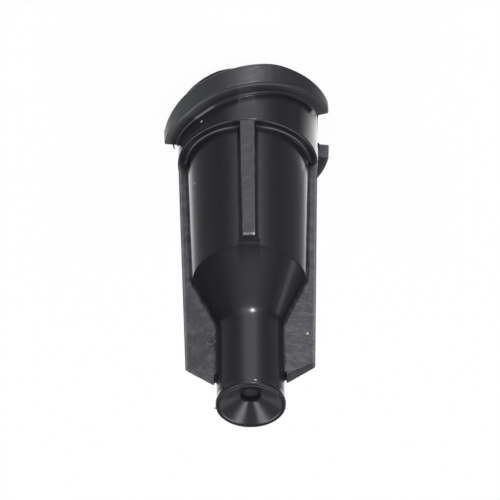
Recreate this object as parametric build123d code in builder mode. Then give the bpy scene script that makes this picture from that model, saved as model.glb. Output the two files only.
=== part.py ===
from build123d import *
from math import radians, tan
import os

# Luer cap: a one-piece moulded cap with a tapered socket and two lock lugs.
# It stands on its mouth: z = 0 is the mouth plane, +Z runs to the nose, and
# the two side fins lie along X. Sizes are in millimetres and degrees.

# Socket: a 6 percent luer taper, blind at its far end
socket_mouth_diameter = 4.30
socket_taper = 0.06
socket_depth = 9.0
socket_lead_in = 0.12

# Barrel around the socket, and the collar that steps out from it at the mouth
barrel_wall = 0.74
barrel_draft_angle = 1.22
barrel_length = 7.14
collar_step = 0.46
collar_height = 3.03
mouth_bevel = 0.07

# Two right-handed lock lugs that stand out from the collar, the back one the
# shorter. The reach is at the mouth plane, from where the crest drafts in. The
# heights are of the crest's nose side at the high end, of the land that cuts
# it flat, and of the relief cut into its mouth side
lug_reach = 0.69
lug_lead = 5.0
lug_crest_width = 1.13
lug_crest_draft_angle = 2.6
lug_mouth_flank_angle = 42.0
lug_nose_flank_angle = 8.0
lug_root_rounding = 0.18
lug_foot_depth = 0.02
front_lug_sweep_angle = 166.0
back_lug_sweep_angle = 132.0
lug_high_end_angle = -7.5
lug_high_end_height = 2.58
lug_land_height = 2.15
lug_relief_height = 1.36
lug_relief_setback = 0.06
lug_low_end_flat_depth = 0.11

# Cone and nose
shoulder_rounding = 1.20
cone_length = 2.80
nose_root_diameter = 3.02
nose_end_diameter = 3.12
nose_length = 4.385
nose_root_rounding = 0.80
nose_rim_step = 0.04
nose_rim_height = 0.40
nose_rim_bevel = 0.05

# Conical recess and blind pinhole in the nose's end
rim_width = 0.18
recess_depth = 0.60
pinhole_diameter = 0.86
pinhole_depth = 0.70

# Rounding at every root on the barrel, cone and nose
root_rounding = 0.15

# Side fins, which thin outwards and draw in towards the nose. The length is
# from the collar to the outer corner, and the toe drops further to the nose
fin_setback = 0.03
fin_draft_angle = 1.29
fin_length = 12.04
fin_toe_drop = 0.81
fin_toe_width = 0.19
fin_toe_step = 0.19
fin_root_thickness = 0.66
fin_edge_thickness = 0.32

# Front and back ribs, which end part way down the barrel
rib_length = 6.55
rib_root_width = 0.76
rib_end_width = 0.68
rib_end_rounding = 0.12

# Radii and heights that follow from the sizes above, from the socket outwards
socket_mouth_radius = socket_mouth_diameter / 2
socket_end_radius = socket_mouth_radius - socket_taper / 2 * socket_depth
barrel_root_radius = socket_mouth_radius - socket_taper / 2 * collar_height + barrel_wall
barrel_end_radius = barrel_root_radius - barrel_length * tan(radians(barrel_draft_angle))
collar_radius = barrel_root_radius + collar_step
lug_radius = collar_radius + lug_reach
nose_root_radius = nose_root_diameter / 2
nose_end_radius = nose_end_diameter / 2
nose_rim_radius = nose_end_radius + nose_rim_step
pinhole_radius = pinhole_diameter / 2
barrel_start = collar_height
barrel_end = barrel_start + barrel_length
nose_start = barrel_end + cone_length
nose_end = nose_start + nose_length
recess_floor = nose_end - recess_depth
overlap_start = collar_height / 2
same_height = 0.001

# The fins and ribs share one outer edge line, drawn in from the collar
fin_draft = tan(radians(fin_draft_angle))
fin_collar_radius = collar_radius - fin_setback
fin_corner = barrel_start + fin_length
fin_corner_radius = fin_collar_radius - fin_draft * fin_length
fin_toe = fin_corner + fin_toe_drop
fin_toe_radius = nose_root_radius + fin_toe_width
fin_foot = fin_toe - fin_toe_step
rib_end = barrel_start + rib_length
rib_end_radius = fin_collar_radius - fin_draft * rib_length

# Fin section seen along the axis: a wedge each side of the centre
fin_wedge = (fin_root_thickness - fin_edge_thickness) / 2 / (collar_radius - fin_toe_radius)
fin_centre_half = fin_root_thickness / 2 + fin_wedge * fin_toe_radius

with BuildPart() as fins:
    with BuildSketch(Plane.XY.offset(overlap_start)):
        with BuildLine():
            Polyline(
                (0, fin_centre_half),
                (collar_radius, fin_edge_thickness / 2),
                (collar_radius, -fin_edge_thickness / 2),
                (0, -fin_centre_half),
                close=True,
            )
        make_face()
        mirror(about=Plane.YZ)
    extrude(amount=fin_toe - overlap_start)
    # Outline seen from the front
    with BuildSketch(Plane.XZ):
        with BuildLine():
            Polyline(
                (0, overlap_start),
                (fin_collar_radius, overlap_start),
                (fin_collar_radius, barrel_start),
                (fin_corner_radius, fin_corner),
                (fin_toe_radius, fin_toe),
                (fin_toe_radius, fin_foot),
                (0, fin_foot),
                close=True,
            )
        make_face()
        mirror(about=Plane.YZ)
    extrude(amount=2 * fin_centre_half, both=True, mode=Mode.INTERSECT)

with BuildPart() as ribs:
    # Outline seen from the side, with the outer corner of its end rounded
    with BuildSketch(Plane.YZ):
        with BuildLine():
            FilletPolyline(
                (0, overlap_start),
                (fin_collar_radius, overlap_start),
                (fin_collar_radius, barrel_start),
                (rib_end_radius, rib_end),
                (0, rib_end),
                close=True,
                radius=[0, 0, 0, rib_end_rounding, 0],
            )
        make_face()
        mirror(about=Plane.YZ)
    extrude(amount=rib_root_width, both=True)
    # Outline seen from the front, narrower at the end
    with BuildSketch(Plane.XZ):
        with BuildLine():
            Polyline(
                (rib_root_width / 2, overlap_start),
                (rib_root_width / 2, barrel_start),
                (rib_end_width / 2, rib_end),
                (-rib_end_width / 2, rib_end),
                (-rib_root_width / 2, barrel_start),
                (-rib_root_width / 2, overlap_start),
                close=True,
            )
        make_face()
    extrude(amount=collar_radius, both=True, mode=Mode.INTERSECT)

# Lug section in a radial plane: flanks that widen from the crest to a rounded
# foot, which lies just inside the collar. It reaches past the crest's radius,
# where a drafted cone cuts it off
foot_radius = collar_radius - lug_foot_depth
foot_inner_radius = foot_radius - lug_root_rounding
foot_margin = 1.5 * lug_root_rounding
section_reach = 2 * lug_root_rounding
section_radius = lug_radius + section_reach
mouth_flank = tan(radians(lug_mouth_flank_angle))
nose_flank = tan(radians(lug_nose_flank_angle))
lug_depth = lug_radius - foot_radius


def lock_lug(sweep_angle):
    """One lug, with its low end at angle 0 and its high end at sweep_angle."""
    rise = lug_lead * sweep_angle / 360
    nose_side = lug_high_end_height - rise
    mouth_side = nose_side - lug_crest_width
    foot_nose_side = nose_side + lug_depth * nose_flank
    foot_mouth_side = mouth_side - lug_depth * mouth_flank
    with BuildPart() as lug:
        with BuildLine() as thread_line:
            Helix(pitch=lug_lead, height=rise, radius=lug_radius)
        with BuildSketch(Plane.XZ) as lug_section:
            with BuildLine():
                FilletPolyline(
                    (foot_inner_radius, foot_mouth_side - foot_margin),
                    (foot_radius, foot_mouth_side - foot_margin),
                    (foot_radius, foot_mouth_side),
                    (section_radius, mouth_side + section_reach * mouth_flank),
                    (section_radius, nose_side - section_reach * nose_flank),
                    (foot_radius, foot_nose_side),
                    (foot_radius, foot_nose_side + foot_margin),
                    (foot_inner_radius, foot_nose_side + foot_margin),
                    close=True,
                    radius=[0, 0, lug_root_rounding, 0, 0, lug_root_rounding, 0, 0],
                )
            make_face()
        sweep(sections=lug_section.sketch, path=thread_line.line, is_frenet=True)
        # The mouth plane, the drafted crest and the flat land
        Cone(
            bottom_radius=lug_radius,
            top_radius=lug_radius - lug_land_height * tan(radians(lug_crest_draft_angle)),
            height=lug_land_height,
            align=(Align.CENTER, Align.CENTER, Align.MIN),
            mode=Mode.INTERSECT,
        )
        # Where the mould parts, the mouth side has no flank beyond the collar
        # at the high end, and the low end is cut to a small flat
        with BuildSketch(Plane.XY.rotated((0, 0, sweep_angle - lug_high_end_angle))):
            with Locations((collar_radius - lug_relief_setback, 0)):
                Rectangle(section_radius, 2 * section_radius, align=(Align.MIN, Align.CENTER))
        extrude(amount=lug_relief_height, mode=Mode.SUBTRACT)
        with BuildSketch(Plane.XY.rotated((0, 0, sweep_angle - lug_high_end_angle))):
            with Locations((lug_low_end_flat_depth - lug_radius, 0)):
                Rectangle(section_radius, 2 * section_radius, align=(Align.MAX, Align.CENTER))
        extrude(amount=lug_land_height, mode=Mode.SUBTRACT)
    return lug.part


with BuildPart() as luer_cap:
    with BuildSketch(Plane.XZ):
        with BuildLine():
            FilletPolyline(
                (0, 0),
                (collar_radius - mouth_bevel, 0),
                (collar_radius, mouth_bevel),
                (collar_radius, barrel_start),
                (barrel_root_radius, barrel_start),
                (barrel_end_radius, barrel_end),
                (nose_root_radius, nose_start),
                (nose_end_radius, nose_end - nose_rim_height),
                (nose_rim_radius, nose_end - nose_rim_height / 2),
                (nose_rim_radius, nose_end - nose_rim_bevel),
                (nose_rim_radius - nose_rim_bevel, nose_end),
                (0, nose_end),
                close=True,
                radius=[0, 0, 0, 0, 0, shoulder_rounding, nose_root_rounding, 0, 0, 0, 0, 0],
            )
        make_face()
    revolve(axis=Axis.Z)

    # Fins and ribs, with one rounding along all their roots and the barrel's
    add([fins.part, ribs.part])
    joins = luer_cap.edges(Select.NEW)
    sides = joins.filter_by(lambda edge: edge.bounding_box().size.Z > root_rounding)
    rib_ends = joins.filter_by(lambda edge: abs(edge.center().Z - rib_end) < same_height)
    barrel_root = (
        luer_cap.edges(Select.ALL)
        .filter_by(lambda edge: abs(edge.center().Z - barrel_start) < same_height)
        .filter_by(GeomType.CIRCLE)
        .group_by(SortBy.RADIUS)[0]
    )
    fillet(sides + rib_ends + barrel_root, root_rounding)

    for turn, sweep_angle in ((0, front_lug_sweep_angle), (180, back_lug_sweep_angle)):
        with Locations(Rotation(0, 0, turn + lug_high_end_angle - sweep_angle)):
            add(lock_lug(sweep_angle))

    # Socket, with a small lead-in at the mouth
    with BuildSketch(Plane.XZ):
        with BuildLine():
            Polyline(
                (0, 0),
                (socket_mouth_radius + socket_lead_in, 0),
                (socket_mouth_radius, socket_lead_in),
                (socket_end_radius, socket_depth),
                (0, socket_depth),
                close=True,
            )
        make_face()
    revolve(axis=Axis.Z, mode=Mode.SUBTRACT)

    # Recess in the nose's end, with the pinhole at its centre
    with BuildSketch(Plane.XZ):
        with BuildLine():
            Polyline(
                (0, nose_end),
                (nose_rim_radius - rim_width, nose_end),
                (pinhole_radius, recess_floor),
                (pinhole_radius, recess_floor - pinhole_depth),
                (0, recess_floor - pinhole_depth),
                close=True,
            )
        make_face()
    revolve(axis=Axis.Z, mode=Mode.SUBTRACT)

luer_cap.part.label = "luer_cap"

os.makedirs("parts", exist_ok=True)
export_step(luer_cap.part, "parts/luer_cap.step")
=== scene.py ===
import math

import bpy
import numpy as np
from mathutils import Matrix, Vector


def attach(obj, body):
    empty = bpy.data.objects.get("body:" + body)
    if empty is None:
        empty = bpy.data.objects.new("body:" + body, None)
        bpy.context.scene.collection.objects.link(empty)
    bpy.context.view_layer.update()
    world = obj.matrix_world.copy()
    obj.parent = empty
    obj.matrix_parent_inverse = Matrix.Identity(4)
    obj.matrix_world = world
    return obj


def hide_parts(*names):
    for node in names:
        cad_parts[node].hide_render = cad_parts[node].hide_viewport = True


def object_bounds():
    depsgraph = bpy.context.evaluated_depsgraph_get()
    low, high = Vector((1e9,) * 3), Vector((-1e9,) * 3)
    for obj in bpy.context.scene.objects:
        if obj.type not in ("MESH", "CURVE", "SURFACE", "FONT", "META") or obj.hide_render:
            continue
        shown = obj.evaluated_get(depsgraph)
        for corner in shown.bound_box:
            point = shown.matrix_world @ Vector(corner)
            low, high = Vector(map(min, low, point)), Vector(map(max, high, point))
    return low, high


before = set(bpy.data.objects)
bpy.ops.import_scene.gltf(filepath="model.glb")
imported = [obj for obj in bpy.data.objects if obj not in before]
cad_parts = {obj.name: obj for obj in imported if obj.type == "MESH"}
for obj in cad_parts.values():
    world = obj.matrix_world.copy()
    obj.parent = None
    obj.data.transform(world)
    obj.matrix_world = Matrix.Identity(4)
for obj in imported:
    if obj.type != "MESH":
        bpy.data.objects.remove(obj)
cad_low, cad_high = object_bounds()

# Lengths of the moulding are in millimetres, and MM turns them into metres
MM = 0.001

# Socket
socket_mouth_radius = 2.15
socket_taper = 0.03
socket_depth = 9.0
socket_lead_in = 0.12
socket_end_rounding = 0.25

# Collar and barrel
collar_radius = 3.26
collar_height = 3.03
barrel_radius = 2.80
barrel_draft = 0.0213
barrel_end = 10.17
edge_rounding = 0.06
root_rounding = 0.15

# Cone and nose
nose_start = 12.97
nose_radius = 1.51
nose_flare = 0.0105
shoulder_softness = 0.004
nose_root_softness = 0.10
nose_end = (cad_high.z - cad_low.z) / MM
nose_bead = 0.04
nose_bead_length = 0.40
recess_radius = 1.42
recess_depth = 0.60
pinhole_radius = 0.43
pinhole_depth = 0.35

# Lock lugs. Their half of the mould sat a little to one side
lug_radius = 3.95
lug_draft = 0.045
lug_shift = 0.044
lug_lead = 5.0
lug_crest_width = 1.13
front_lug_sweep = math.radians(166.0)
back_lug_sweep = math.radians(132.0)
lug_high_end = math.radians(-7.5)
lug_high_end_height = 2.58
front_lug_land = 2.12
back_lug_land = 2.18
lug_nose_flank = math.tan(math.radians(8.0))
lug_mouth_flank = math.radians(42.0)
lug_nose_rounding = 0.11
lug_edge_rounding = 0.13
lug_relief_start = 3.18
lug_relief_run = 0.2
lug_relief_height = 1.36
lug_low_end_flat = 3.84
lug_foot_radius = 3.52
lug_foot_taper = 0.183
lug_foot_taper_start = 1.3

# Fins and ribs
fin_collar_radius = 3.23
fin_draft = 0.0225
fin_corner = 15.07
fin_toe = 15.88
fin_toe_radius = 1.64
fin_toe_step = 0.19
fin_end_mismatch = 0.04
fin_centre_half = 0.515
fin_wedge = 0.109
fin_root_rounding = 0.12
rib_end = 9.65
rib_draft = 0.062
rib_bevel = 0.14
rib_bevel_slope = math.tan(math.radians(10.0))
rib_root_half = 0.38
rib_taper = 0.0061
rib_root_rounding = 0.12

# The strips kept out of the gloss take the back lug from this side on
back_lug_from = -1.0

# Grid that the surface is found on, its heights in stretches of (start, end, step)
fine = 0.065
grid_rows = (
    (-2 * fine, 3.4, fine),
    (3.4, 8.7, 0.2),
    (8.7, 9.9, fine),
    (9.9, 13.0, 0.11),
    (13.0, 14.9, 0.2),
    (14.9, nose_end + 2 * fine, fine),
)


def soft_least(a, b, softness):
    """The lesser of two values, eased where they cross."""
    return (a + b - np.sqrt((a - b) ** 2 + softness**2)) / 2


def soft_most(a, b, softness):
    """The greater of two values, eased where they cross."""
    return (a + b + np.sqrt((a - b) ** 2 + softness**2)) / 2


def join(a, b, rounding):
    """Union of two solids given by their distances, with a rounded root."""
    near = np.maximum(rounding, np.minimum(a, b))
    return near - np.hypot(np.maximum(rounding - a, 0), np.maximum(rounding - b, 0))


def overlap(a, b, rounding):
    """What two solids share, with the edge between them rounded."""
    near = np.minimum(-rounding, np.maximum(a, b))
    return near + np.hypot(np.maximum(rounding + a, 0), np.maximum(rounding + b, 0))


def stem(r, z):
    """Barrel, cone and nose as one turned form."""
    barrel = barrel_radius - barrel_draft * (z - collar_height)
    shoulder_radius = barrel_radius - barrel_draft * (barrel_end - collar_height)
    cone_slope = (shoulder_radius - nose_radius) / (nose_start - barrel_end)
    cone = nose_radius + cone_slope * (nose_start - z)
    bead = np.clip((z - nose_end + nose_bead_length) / (nose_bead_length / 2), 0, 1)
    nose = nose_radius + nose_flare * (z - nose_start) + nose_bead * bead
    outline = soft_most(soft_least(barrel, cone, shoulder_softness), nose, nose_root_softness)
    return overlap(r - outline, z - nose_end, edge_rounding)


def collar(r, z):
    return overlap(r - collar_radius, z - collar_height, edge_rounding)


def outer_line(z):
    """Radius of the edge line that the fins and ribs share."""
    return fin_collar_radius - fin_draft * (z - collar_height)


def fins(x, y, z):
    """Two side fins, thinner towards their edge, with a slanted end and a toe."""
    out = np.abs(x)
    z = z - fin_end_mismatch * np.sign(x)
    side = np.abs(y) - (fin_centre_half - fin_wedge * out)
    edge = out - outer_line(z)
    corner_radius = outer_line(fin_corner)
    run = corner_radius - fin_toe_radius
    drop = fin_toe - fin_corner
    slant = ((out - corner_radius) * drop + (z - fin_corner) * run) / math.hypot(run, drop)
    notch = np.maximum(out - fin_toe_radius, fin_toe - fin_toe_step - z)
    body = overlap(overlap(side, edge, edge_rounding / 2), slant, edge_rounding / 2)
    return overlap(body, -notch, edge_rounding / 2)


def ribs(x, y, z):
    """Two short ribs, front and back, with a square end."""
    side = np.abs(x) - (rib_root_half - rib_taper * (z - collar_height))
    reach = fin_collar_radius - rib_draft * np.maximum(z - collar_height, 0)
    reach = reach - rib_bevel_slope * np.maximum(z - rib_end + rib_bevel, 0)
    face = overlap(side, np.abs(y) - reach, edge_rounding)
    return overlap(face, z - rib_end, edge_rounding / 2)


def lugs(x, y, z):
    """Two helical lugs with a sloped mouth side, cut flat at their high end."""
    front = (1, front_lug_sweep, front_lug_land)
    back = (-1, back_lug_sweep, back_lug_land)
    solid = None
    for side, sweep, land in (front, back):
        out = side * (x - lug_shift)
        r = np.hypot(out, y)
        middle = lug_high_end - sweep / 2
        along = (np.arctan2(side * y, out) - middle + math.pi) % (2 * math.pi) - math.pi
        crest = lug_radius - lug_draft * z
        nose_side = lug_high_end_height + lug_lead * (along - sweep / 2) / (2 * math.pi)
        depth = crest - r
        nose_flank = z - nose_side - depth * lug_nose_flank
        mouth_side = nose_side - lug_crest_width
        sloped = (mouth_side - z) * math.cos(lug_mouth_flank) - depth * math.sin(lug_mouth_flank)
        level = np.minimum(mouth_side, lug_relief_height) - z
        relief = np.clip((out - lug_relief_start) / lug_relief_run, 0, 1)
        mouth_face = sloped + (level - sloped) * relief
        section = overlap(r - crest, nose_flank, lug_edge_rounding)
        section = overlap(section, mouth_face, edge_rounding)
        section = overlap(section, z - land, edge_rounding)
        section = overlap(section, -out - lug_low_end_flat, edge_rounding)
        foot_radius = lug_foot_radius - lug_foot_taper * np.maximum(out - lug_foot_taper_start, 0)
        foot = np.maximum(r - foot_radius, z - mouth_side - edge_rounding)
        lug = np.minimum(section, foot)
        lug = overlap(lug, (np.abs(along) - sweep / 2) * r, edge_rounding)
        solid = lug if solid is None else np.minimum(solid, lug)
    return solid


def socket(r, z):
    """Tapered socket, with a small lead-in at the mouth."""
    cone = r - (socket_mouth_radius - socket_taper * z)
    lead_in = (r + z - socket_mouth_radius - socket_lead_in) / math.sqrt(2)
    return np.minimum(overlap(cone, z - socket_depth, socket_end_rounding), lead_in)


def recess(r, z):
    """Conical recess and pinhole in the nose's end."""
    slope = (recess_radius - pinhole_radius) / recess_depth
    cone = (r - recess_radius + slope * (nose_end - z)) / math.hypot(1, slope)
    floor = nose_end - recess_depth - pinhole_depth
    pinhole = overlap(r - pinhole_radius, floor - z, edge_rounding)
    return join(cone, pinhole, edge_rounding)


def moulding(x, y, z):
    """Distance to the cap's surface, negative inside it."""
    r = np.hypot(x, y)
    turned = stem(r, z)
    ring = collar(r, z)
    solid = join(turned, ring, root_rounding)
    solid = np.minimum(solid, join(turned, fins(x, y, z), fin_root_rounding))
    solid = np.minimum(solid, join(turned, ribs(x, y, z), rib_root_rounding))
    solid = np.minimum(solid, join(ring, lugs(x, y, z), lug_nose_rounding))
    solid = overlap(solid, -z, edge_rounding)
    solid = overlap(solid, -socket(r, z), edge_rounding / 2)
    return overlap(solid, -recess(r, z), edge_rounding / 2)


def graded(stretches):
    """Grid heights from stretches of (start, end, step)."""
    rows = [np.arange(start, end - step / 2, step) for start, end, step in stretches]
    return np.concatenate([*rows, [stretches[-1][1]]])


def surface_net(shape, axes):
    """Closed quad mesh of the surface where shape is zero, on a grid of three axes."""
    values = shape(*np.meshgrid(*axes, indexing="ij", sparse=True))
    inside = values < 0
    count = sum(
        inside[i : i - 1 or None, j : j - 1 or None, k : k - 1 or None].astype(np.int8)
        for i in (0, 1)
        for j in (0, 1)
        for k in (0, 1)
    )
    cells = np.argwhere((count > 0) & (count < 8))
    number = np.full(count.shape, -1)
    number[tuple(cells.T)] = np.arange(len(cells))
    total = np.zeros((len(cells), 3))
    crossings = np.zeros(len(cells))
    for axis in range(3):
        for corner in range(4):
            start = cells.copy()
            start[:, (axis + 1) % 3] += corner & 1
            start[:, (axis + 2) % 3] += corner >> 1
            end = start.copy()
            end[:, axis] += 1
            a = values[tuple(start.T)]
            b = values[tuple(end.T)]
            crossed = (a < 0) != (b < 0)
            share = np.where(crossed, a / np.where(crossed, a - b, 1), 0)
            low = np.stack([axes[n][start[:, n]] for n in range(3)], 1)
            high = np.stack([axes[n][end[:, n]] for n in range(3)], 1)
            total += np.where(crossed[:, None], low + (high - low) * share[:, None], 0)
            crossings += crossed
    points = total / crossings[:, None]
    faces = []
    for axis in range(3):
        lower = np.moveaxis(inside, axis, 0)[:-1]
        upper = np.moveaxis(inside, axis, 0)[1:]
        edges = np.moveaxis(lower != upper, 0, axis)
        nodes = np.argwhere(edges)
        side, other = (axis + 1) % 3, (axis + 2) % 3
        ring = []
        for back_side, back_other in ((0, 0), (1, 0), (1, 1), (0, 1)):
            cell = nodes.copy()
            cell[:, side] -= back_side
            cell[:, other] -= back_other
            ring.append(number[tuple(cell.T)])
        quads = np.stack(ring, 1)
        leaving = inside[tuple(nodes.T)]
        faces.append(np.where(leaving[:, None], quads, quads[:, ::-1]))
    return points, np.concatenate(faces)


def slope_at(shape, points, reach=0.01):
    """Gradient of shape at each point."""
    steps = np.eye(3) * reach
    rises = [shape(*(points + step).T) - shape(*(points - step).T) for step in steps]
    return np.stack(rises, 1) / (2 * reach)


def settle(shape, points, rounds=4, most=0.05, least_steep=0.05):
    """Moves points on to the surface where shape is zero."""
    for _ in range(rounds):
        slope = slope_at(shape, points)
        steep = np.maximum((slope**2).sum(1, keepdims=True), least_steep)
        move = shape(*points.T)[:, None] * slope / steep
        points = points - np.clip(move, -most, most)
    return points


def mesh_object(name, points, faces, normals=None):
    mesh = bpy.data.meshes.new(name)
    mesh.from_pydata((points * MM).tolist(), [], faces.tolist())
    mesh.shade_smooth()
    if normals is not None:
        mesh.normals_split_custom_set_from_vertices(normals)
    piece = bpy.data.objects.new(name, mesh)
    bpy.context.scene.collection.objects.link(piece)
    return piece


def beside_barrel(x, y, z):
    """The narrow strips of the fins beside the barrel, and the back lug."""
    on_fin = (np.abs(y) < fin_centre_half) & (np.abs(x) > barrel_radius)
    past_collar = np.hypot(x, y) > collar_radius + edge_rounding
    strip = on_fin & (z > collar_height) & (z < barrel_end)
    back_lug = past_collar & (x < 0) & (y > back_lug_from) & (z < collar_height)
    return strip | back_lug


def build_cap():
    """The whole moulding, with its side strips as a piece of their own.

    The strips stay out of the gloss, so that the barrel's sides catch the white behind them.
    """
    across = np.arange(-lug_radius - 2 * fine, lug_radius + 3 * fine, fine)
    points, faces = surface_net(moulding, (across, across, graded(grid_rows)))
    points = settle(moulding, points)
    normals = slope_at(moulding, points)
    normals /= np.linalg.norm(normals, axis=1, keepdims=True)
    apart = beside_barrel(*points[faces].mean(1).T)
    pieces = []
    for name, share in (("cap_moulding", ~apart), ("cap_side_strips", apart)):
        used, renumbered = np.unique(faces[share], return_inverse=True)
        pieces.append(mesh_object(name, points[used], renumbered.reshape(-1, 4), normals[used]))
    return pieces


cap, side_strips = build_cap()
side_strips.visible_glossy = False
for piece in (cap, side_strips):
    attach(piece, "root")
    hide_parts("luer_cap")


# Slivers of flash: three points on each curve, and the radius at its middle
flash_threads = (
    (((3.40, -0.60, 2.08), (3.44, -0.58, 2.25), (3.38, -0.54, 2.45)), 0.035),
    (((-3.26, -0.60, 0.42), (-3.28, -0.60, 0.58), (-3.24, -0.60, 0.76)), 0.03),
    (((-3.24, 0.30, 1.42), (-3.34, 0.32, 1.56), (-3.30, 0.34, 1.76)), 0.05),
    (((1.54, 0.14, 17.32), (1.60, 0.15, 17.34), (1.67, 0.16, 17.33)), 0.03),
)
sliver_sides = 8
sliver_rings = 13
sliver_end_girth = 0.25
sliver_swell = 0.7
sliver_tilt = (0.3, 0.5, 0.8)
sliver_end_faces = ((0, 1, 2, 3), (0, 3, 4, 7), (4, 5, 6, 7))


def sliver(path, radius):
    """A closed thread of flash along a curve through three points, thickest in the middle."""
    start, middle, end = (np.array(point) for point in path)
    along = (end - start) / np.linalg.norm(end - start)
    across = np.cross(along, sliver_tilt)
    across /= np.linalg.norm(across)
    upward = np.cross(along, across)
    points, faces = [], []
    for ring in range(sliver_rings):
        t = ring / (sliver_rings - 1)
        centre = start * (1 - t) * (1 - 2 * t) + middle * 4 * t * (1 - t) + end * t * (2 * t - 1)
        swell = math.sin(math.pi * t) ** sliver_swell
        girth = radius * (sliver_end_girth + (1 - sliver_end_girth) * swell)
        for side in range(sliver_sides):
            turn = 2 * math.pi * side / sliver_sides
            points.append(centre + girth * (math.cos(turn) * across + math.sin(turn) * upward))
            if ring:
                here = ring * sliver_sides + side
                beside = ring * sliver_sides + (side + 1) % sliver_sides
                faces.append([here - sliver_sides, beside - sliver_sides, beside, here])
    last = (sliver_rings - 1) * sliver_sides
    for face in sliver_end_faces:
        faces.append(face[::-1])
        faces.append([last + corner for corner in face])
    return np.array(points), np.array(faces)


def build_flash():
    """The slivers that the mould left, as one mesh."""
    points, faces, count = [], [], 0
    for path, radius in flash_threads:
        thread_points, thread_faces = sliver(path, radius)
        points.append(thread_points)
        faces.append(thread_faces + count)
        count += len(thread_points)
    return mesh_object("mould_flash", np.concatenate(points), np.concatenate(faces))


flash = build_flash()
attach(flash, "root")


class Socket:
    """Wraps a shader socket so that shader maths reads as Python."""

    def __init__(self, tree, socket):
        self.tree = tree
        self.socket = socket

    def _math(self, operation, other, swapped=False):
        values = (other, self) if swapped else (self, other)
        return self.tree.node("ShaderNodeMath", {"operation": operation}, *values)

    def __add__(self, other):
        return self._math("ADD", other)

    def __radd__(self, other):
        return self._math("ADD", other, True)

    def __sub__(self, other):
        return self._math("SUBTRACT", other)

    def __rsub__(self, other):
        return self._math("SUBTRACT", other, True)

    def __mul__(self, other):
        return self._math("MULTIPLY", other)

    def __rmul__(self, other):
        return self._math("MULTIPLY", other, True)

    def __truediv__(self, other):
        return self._math("DIVIDE", other)

    def __neg__(self):
        return self._math("MULTIPLY", -1.0)

    def __abs__(self):
        return self.tree.node("ShaderNodeMath", {"operation": "ABSOLUTE"}, self)


class Tree:
    """Adds nodes to a node tree."""

    def __init__(self, owner):
        owner.use_nodes = True
        self.nodes = owner.node_tree.nodes
        self.links = owner.node_tree.links
        self.nodes.clear()

    def node(self, kind, settings=None, *inputs, output=0, **named):
        """A node with its settings, then its inputs by place or by name, as values or links."""
        made = self.nodes.new(kind)
        for key, value in (settings or {}).items():
            if key == "stops":
                self.set_stops(made.color_ramp, value)
            else:
                setattr(made, key, value)
        for key, value in [*enumerate(inputs), *named.items()]:
            if isinstance(key, str):
                key = int(key) if key.isdigit() else key.replace("_", " ")
            if isinstance(value, Socket):
                self.links.new(value.socket, made.inputs[key])
            else:
                made.inputs[key].default_value = value
        return Socket(self, made.outputs[output]) if made.outputs else None

    @staticmethod
    def set_stops(ramp, stops):
        """Grey stops of a ramp, given as (place, level)."""
        while len(ramp.elements) < len(stops):
            ramp.elements.new(1.0)
        for element, (place, level) in zip(ramp.elements, stops):
            element.position = place
            element.color = (level, level, level, 1)

    def ramp(self, value, stops):
        """Eased level from stops of (place, level)."""
        ramp = self.node("ShaderNodeValToRGB", {"stops": stops}, value)
        ramp.socket.node.color_ramp.interpolation = "EASE"
        return ramp

    def split(self, vector):
        parts = self.node("ShaderNodeSeparateXYZ", None, vector).socket.node
        return [Socket(self, parts.outputs[n]) for n in range(3)]

    def band(self, value, middle, width):
        """1 at the middle, easing to 0 a width away on each side."""
        settings = {"interpolation_type": "SMOOTHERSTEP"}
        return self.node("ShaderNodeMapRange", settings, abs(value - middle), 0.0, width, 1.0, 0.0)

    def root(self, value):
        return self.node("ShaderNodeMath", {"operation": "SQRT"}, value)

    def mix(self, share, first, second):
        """Colour between two, by a share from 0 to 1."""
        inputs = {"0": share, "6": first, "7": second}
        return self.node("ShaderNodeMix", {"data_type": "RGBA"}, output=2, **inputs)

    def vector(self, operation, *inputs, output=0, **named):
        settings = {"operation": operation}
        return self.node("ShaderNodeVectorMath", settings, *inputs, output=output, **named)

    def step(self, value, low, high):
        """0 below low, 1 above high, easing between them."""
        settings = {"interpolation_type": "SMOOTHSTEP"}
        return self.node("ShaderNodeMapRange", settings, value, low, high, 0.0, 1.0)


# Colours of the plastic, and of the sheen, highlights and shade painted on it
black = (0.0182, 0.0174, 0.0218, 1)
# Grey of the bloom, also used for the painted sheen and the painted highlight patch
bloom_and_sheen_grey = (0.080, 0.088, 0.092, 1)
# Grey of the fins' worn edges, also used for the painted highlight streak
wear_and_highlight_grey = (0.155, 0.152, 0.160, 1)
speck_white = (0.55, 0.53, 0.54, 1)
pinhole_grey = (0.022, 0.020, 0.024, 1)
# Dark matte black of the painted shade
painted_shade_black = (0.026, 0.025, 0.029, 1)
gloss_tint = (1.0, 0.985, 1.09, 1)

# A fade is a pair of millimetres, where a finish starts and where it is full: both are below
# zero where it grows towards the axis or the mouth. A band is its middle and its reach
above_collar_fade = (3.0, 3.1)
fin_face_fade = (-0.46, -0.40)
fin_root_fade = (1.5, 1.6)
fin_edge_fade = (fin_collar_radius - 0.16, fin_collar_radius - 0.06)
fin_end_fade = (-0.06, 0.0)
rib_face_fade = (2.86, 2.95)
rib_side_fade = (-0.56, -0.46)
lug_face_fade = (3.35, 3.5)
crease_fade = (3.30, 3.36)
pinhole_side_fade = (-0.46, -0.42)
pinhole_height_fade = (16.0, 16.2)

# Mottling, as size in millimetres, detail and roughness, and the levels where it fades in
blotches = (0.42, 3, 0.5)
grains = (0.12, 2, 0.5)
mottles = (0.55, 3, 0.6)
pit_grains = (0.2, 1, 0.5)
mottle_fade = (0.46, 0.62)
mottle_share = 0.2
pit_fade = (0.45, 0.58)

# How much the mould's erosion shows on each form
fin_erosion = 0.42
lug_erosion = 0.30
rib_erosion = 0.15

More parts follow.
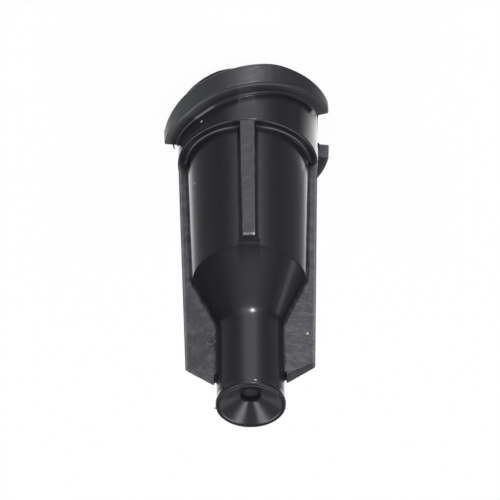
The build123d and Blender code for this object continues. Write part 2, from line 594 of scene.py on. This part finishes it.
# Roughness
gloss_roughness = 0.17
blotch_roughness = 0.04
eroded_roughness = 0.11
eroded_blotch_roughness = 0.14
crease_roughness = 0.3
pinhole_roughness = 0.5

# Relief of the surface, in millimetres
blotch_height = 0.004
eroded_blotch_height = 0.055
grain_height = 0.0004
eroded_grain_height = 0.006
pit_depth = 0.03

# Pits on one fin beside the nose
pit_height_band = (13.9, 1.0)
pit_out_band = (1.72, 0.34)
pit_side_fade = (0, 0.1)

# Grey bloom on the lugs all round, then painted sheen: paler grey at the front lug's start and end,
# where they catch more light
lug_bloom_and_sheen_fade = (3.5, 3.8)
bloom_all_round = 0.15
start_sheen_fade, start_sheen_share = (0.8, 3.9), 0.85
end_sheen_fade, end_sheen_share = (2.9, 3.6), 0.5

# Painted highlight: a paler patch on the collar above the front rib, standing in for a reflection
# there
highlight_patch_side_fade = (-0.50, -0.36)
highlight_patch_height_band = (1.80, 0.75)
highlight_patch_front_fade = (2.0, 2.5)
highlight_patch_share, highlight_patch_blotch_share = 0.15, 0.35

# Wear of the fins: their outer edge, then their slanted end
edge_wear = 0.2
end_wear, end_blotch_wear = 0.1, 0.6

# Painted shade: a dark matte finish where the barrel meets the cone, at the rib's end, and between
# the two, in place of highlights and of the shade under the rib
ridge_band = (barrel_end - 0.03, 0.20)
ridge_side_fade = (-1.7, -0.7)
rib_foot_band = (rib_end + 0.10, 0.14)
under_rib_start_fade = (rib_end, rib_end + 0.1)
under_rib_end_fade = (-11.2, -10.2)
ridge_painted_shade = 0.85
under_rib_painted_shade = 0.75

# Specks of dust on the surface
speck_radius = 0.075
specks = ((2.12, -2.48, 2.43), (2.47, -1.22, 5.13), (-2.63, -0.23, 13.35), (-0.23, -1.58, 17.1))

# Painted highlight: a pale streak below the front lug, standing in for a light's reflection along
# the lug's root fillet
highlight_streak_middle = (1.99, -2.65, 2.03)
highlight_streak_along = (-0.809, -0.554, -0.195)
highlight_streak_side_fade = (-0.085, -0.03)
highlight_streak_end_fade = (-0.62, -0.5)
highlight_streak_share = 0.8


def look_at(camera, target, azimuth, elevation, distance, roll):
    """Places the camera round the target and turns it about its own axis."""
    back = Vector(
        (
            math.sin(azimuth) * math.cos(elevation),
            -math.cos(azimuth) * math.cos(elevation),
            math.sin(elevation),
        )
    )
    upright = (-back).to_track_quat("-Z", "Y").to_matrix()
    turn = Matrix.Rotation(roll, 3, "Z")
    camera.matrix_world = (upright @ turn).to_4x4()
    camera.location = target + back * distance


def make_camera():
    data = bpy.data.cameras.new("camera")
    data.lens = 558
    data.sensor_width = 36
    data.clip_start = 0.01
    camera = bpy.data.objects.new("camera", data)
    bpy.context.scene.collection.objects.link(camera)
    look_at(
        camera,
        target=Vector((-0.052, 0, 8.15)) * MM,
        azimuth=0.0,
        elevation=math.radians(39.9),
        distance=357 * MM,
        roll=math.radians(179.285),
    )
    bpy.context.scene.camera = camera


def black_plastic():
    """Black polypropylene: glossy on the turned faces, spark-eroded on the fins and lugs."""
    material = bpy.data.materials.new("black_plastic")
    tree = Tree(material)
    step, band = tree.step, tree.band
    place = tree.vector("SCALE", tree.node("ShaderNodeTexCoord", output="Object"), Scale=1 / MM)
    x, y, z = tree.split(place)
    r = tree.root(x * x + y * y)
    out = abs(x)

    def noise(size, detail, roughness):
        settings = {"Scale": 1 / size, "Detail": detail, "Roughness": roughness}
        return tree.node("ShaderNodeTexNoise", None, Vector=place, **settings)

    # Shares of each form and place
    above_collar = step(z, *above_collar_fade)
    on_fin = above_collar * step(-abs(y), *fin_face_fade) * step(out, *fin_root_fade)
    off_axis = r + barrel_draft * (z - collar_height)
    on_rib = above_collar * step(off_axis, *rib_face_fade) * (1 - on_fin)
    on_lug = step(r, *lug_face_fade)
    crease = step(r, *crease_fade) * (1 - above_collar)
    in_pinhole = step(-r, *pinhole_side_fade) * step(z, *pinhole_height_fade)
    pits = on_fin * band(z, *pit_height_band) * band(x, *pit_out_band)
    pits = pits * step(-y, *pit_side_fade) * step(noise(*pit_grains), *pit_fade)
    eroded = on_fin * fin_erosion + on_lug * lug_erosion + on_rib * rib_erosion
    blotch = noise(*blotches)
    grain = noise(*grains)

    # Finish
    roughness = gloss_roughness + blotch * blotch_roughness
    roughness += (on_fin + on_lug) * (eroded_roughness + blotch * eroded_blotch_roughness)
    roughness += crease * (1 - on_lug) * crease_roughness + in_pinhole * pinhole_roughness
    height = blotch * (blotch_height + eroded * eroded_blotch_height)
    height += grain * (grain_height + eroded * eroded_grain_height) - pits * pit_depth
    bump = tree.node("ShaderNodeBump", None, Strength=1.0, Distance=MM, Height=height)

    # Bloom with painted sheen, a painted highlight patch, and wear
    # Painted sheen: paler grey at the front lug's start and end
    start_sheen = step(x, *start_sheen_fade) * start_sheen_share
    end_sheen = step(-x, *end_sheen_fade) * end_sheen_share
    bloom_and_sheen = step(r, *lug_bloom_and_sheen_fade) * (bloom_all_round + start_sheen + end_sheen)
    # Painted highlight: a paler patch on the collar above the front rib
    painted_highlight_patch = step(-out, *highlight_patch_side_fade) * band(z, *highlight_patch_height_band) * step(-y, *highlight_patch_front_fade)
    bloom_and_sheen += painted_highlight_patch * (highlight_patch_share + blotch * highlight_patch_blotch_share)
    fin_edge = out + fin_draft * (z - collar_height)
    end_rise = (fin_toe - fin_corner) / (outer_line(fin_corner) - fin_toe_radius)
    fin_end = z - fin_corner + (out - outer_line(fin_corner)) * end_rise
    worn = step(fin_edge, *fin_edge_fade) * (edge_wear + blotch)
    worn += on_fin * step(noise(*mottles), *mottle_fade) * mottle_share
    worn += step(fin_end, *fin_end_fade) * (end_wear + blotch * end_blotch_wear)

    # Colour: the plastic's own, with the painted sheen and highlights mixed in
    colour = tree.mix(on_fin * worn, tree.mix(bloom_and_sheen, black, bloom_and_sheen_grey), wear_and_highlight_grey)
    colour = tree.mix(in_pinhole, colour, pinhole_grey)
    # Painted highlight: a pale streak below the front lug
    offset = tree.vector("SUBTRACT", place, highlight_streak_middle)
    beside = tree.vector("LENGTH", tree.vector("CROSS_PRODUCT", offset, highlight_streak_along), output=1)
    along = tree.vector("DOT_PRODUCT", offset, highlight_streak_along, output=1)
    painted_highlight_streak = step(-beside, *highlight_streak_side_fade) * step(-abs(along), *highlight_streak_end_fade)
    colour = tree.mix(painted_highlight_streak * highlight_streak_share, colour, wear_and_highlight_grey)
    for speck in specks:
        gap = tree.vector("DISTANCE", place, speck, output=1)
        colour = tree.mix(step(-gap, -speck_radius, -speck_radius / 2), colour, speck_white)

    # Painted shade at the ridge, at the rib's foot and under the rib
    by_rib = step(-out, *rib_side_fade)
    ridge = band(z, *ridge_band) * step(-out, *ridge_side_fade)
    rib_foot = band(z, *rib_foot_band) * by_rib
    under_rib = by_rib * step(z, *under_rib_start_fade) * step(-z, *under_rib_end_fade)
    painted_shade_share = (ridge + rib_foot) * ridge_painted_shade + under_rib * under_rib_painted_shade

    gloss = tree.node(
        "ShaderNodeBsdfPrincipled",
        None,
        Base_Color=colour,
        Roughness=roughness,
        IOR=1.5,
        Specular_Tint=gloss_tint,
        Normal=bump,
    )
    # Painted shade: a dark diffuse mixed in over the gloss
    painted_shade_diffuse = tree.node("ShaderNodeBsdfDiffuse", None, painted_shade_black)
    surface = tree.node("ShaderNodeMixShader", None, painted_shade_share, gloss, painted_shade_diffuse)
    tree.node("ShaderNodeOutputMaterial", None, Surface=surface)
    return material


# Light from around, as (half turns away from the front, level), and its strength
front_turn = -0.01
table_levels = (
    (0.0, 0.54), (0.056, 0.59), (0.111, 0.46), (0.167, 0.24), (0.233, 0.11), (0.306, 0.07),
    (0.5, 0.105), (0.639, 0.15), (0.722, 0.26), (0.833, 0.66), (1.0, 1.0),
)
table_strength = 2.1
front_levels = (
    (0.0, 1.0), (0.056, 0.83), (0.111, 0.52), (0.167, 0.26), (0.233, 0.11), (0.333, 0.0),
)
front_strength = 2.35
wall_levels = (
    (0.0, 0.55), (0.111, 0.5), (0.233, 0.27), (0.333, 0.10), (0.417, 0.08),
    (0.639, 0.08), (0.75, 0.14), (0.889, 0.34), (1.0, 1.0),
)
ceiling_levels = ((0.0, 0.36), (0.6, 0.36), (0.8, 0.20), (1.0, 0.08))

# Where they fade in, as sines of the angle above level, or below it for the table and the front
table_fade = (0.407, 0.588)
front_fade = (-0.035, 0.342)
wall_fade = (-0.588, 0.0)
ceiling_fade = (0.09, 0.64)

# Patches of light: a band of turn, a band of the sine of the height, and the strength
light_patches = (
    ((0.80, 0.12), (0.35, 0.35), 0.5),
    ((-0.80, 0.12), (0.35, 0.35), 0.5),
    ((-0.52, 0.24), (0.0, 0.42), 0.38),
    ((-0.500, 0.055), (-0.07, 0.37), 0.9),
    ((-0.050, 0.052), (-0.342, 0.15), 42),
)

# Two lights overhead, one to each side
overhead_band = (0.40, 0.22)
overhead_fade = (0.6, 0.8)
overhead_strength = 4.2


def studio_glow(tree, x, y, z):
    """How bright the studio is in a direction, beside the white that the camera sees."""
    step, band = tree.step, tree.band
    turn = tree.node("ShaderNodeMath", {"operation": "ARCTAN2"}, x, -y) / math.pi
    off_front = abs(turn - front_turn)
    table = tree.ramp(off_front, table_levels) * table_strength
    front = tree.ramp(off_front, front_levels) * front_strength
    wall = tree.ramp(off_front, wall_levels)
    ceiling = tree.ramp(off_front, ceiling_levels)
    low = step(-z, *table_fade)
    upper = step(z, *ceiling_fade)
    level = table * low + front * (1 - low) * step(-z, *front_fade)
    level += wall * step(z, *wall_fade) * (1 - upper) + upper * ceiling
    for turning, rising, strength in light_patches:
        level += band(turn, *turning) * band(z, *rising) * strength
    return level + band(abs(x), *overhead_band) * step(z, *overhead_fade) * overhead_strength


# Floor, just below the mouth. Most of its white is its own glow, and the rest shows a shadow
floor_half = 400
floor_gap = 0.01
floor_glow_share = 0.96

# Lit paper beside the collar: two opposite corners, where its light fades in, and how bright it is
paper_near = (-6.4, -2.4)
paper_far = (-3.95, 2.6)
paper_fade = (-2.4, 1.2)
paper_dim, paper_gain = 0.1, 1.8


def sheet(name, near, far, height, material):
    """A flat sheet between two opposite corners, which lights and shades nothing itself."""
    mesh = bpy.data.meshes.new(name)
    corners = (near, (far[0], near[1]), far, (near[0], far[1]))
    points = [Vector((x, y, height)) * MM for x, y in corners]
    mesh.from_pydata(points, [], [(0, 1, 2, 3)])
    piece = bpy.data.objects.new(name, mesh)
    bpy.context.scene.collection.objects.link(piece)
    piece.data.materials.append(material)
    piece.visible_diffuse = False
    piece.visible_shadow = False
    return piece


def white_floor():
    """Plain white from above, with a trace of the cap's shadow, and clear from below."""
    material = bpy.data.materials.new("white_floor")
    tree = Tree(material)
    white = (1, 1, 1, 1)
    glow = tree.node("ShaderNodeEmission", None, white, 1.0)
    paper = tree.node("ShaderNodeBsdfDiffuse", None, white)
    top = tree.node("ShaderNodeMixShader", None, floor_glow_share, paper, glow)
    from_below = tree.node("ShaderNodeNewGeometry", output="Backfacing")
    clear = tree.node("ShaderNodeBsdfTransparent", None, white)
    both = tree.node("ShaderNodeMixShader", None, from_below, top, clear)
    tree.node("ShaderNodeOutputMaterial", None, Surface=both)
    return material


def lit_paper():
    material = bpy.data.materials.new("lit_paper")
    tree = Tree(material)
    y = tree.split(tree.node("ShaderNodeTexCoord", output="Object"))[1]
    light = tree.step(y, *(edge * MM for edge in paper_fade)) * paper_gain + paper_dim
    glow = tree.node("ShaderNodeEmission", None, light, 1.0)
    tree.node("ShaderNodeOutputMaterial", None, Surface=glow)
    return material


def make_floor():
    """A floor that only the camera sees: the studio's glow gives the light from below."""
    near, far = (-floor_half, -floor_half), (floor_half, floor_half)
    floor = sheet("floor", near, far, -floor_gap, white_floor())
    floor.visible_glossy = False


def make_card():
    """A sheet of lit paper beside the collar, seen only as its reflection in the plastic."""
    card = sheet("paper", paper_near, paper_far, 0, lit_paper())
    card.visible_camera = False


def make_world():
    world = bpy.data.worlds.new("studio")
    bpy.context.scene.world = world
    tree = Tree(world)
    path = tree.node("ShaderNodeLightPath").socket.node
    seen = Socket(tree, path.outputs["Is Camera Ray"])
    x, y, z = tree.split(tree.node("ShaderNodeTexCoord", output="Generated"))
    brightness = seen + (1 - seen) * studio_glow(tree, x, y, z)
    glow = tree.node("ShaderNodeBackground", None, brightness, 1.0)
    tree.node("ShaderNodeOutputWorld", None, Surface=glow)


plastic = black_plastic()
for piece in (cap, side_strips, flash):
    piece.data.materials.append(plastic)
make_camera()
make_floor()
make_card()
make_world()
bpy.context.scene.view_settings.view_transform = "Standard"
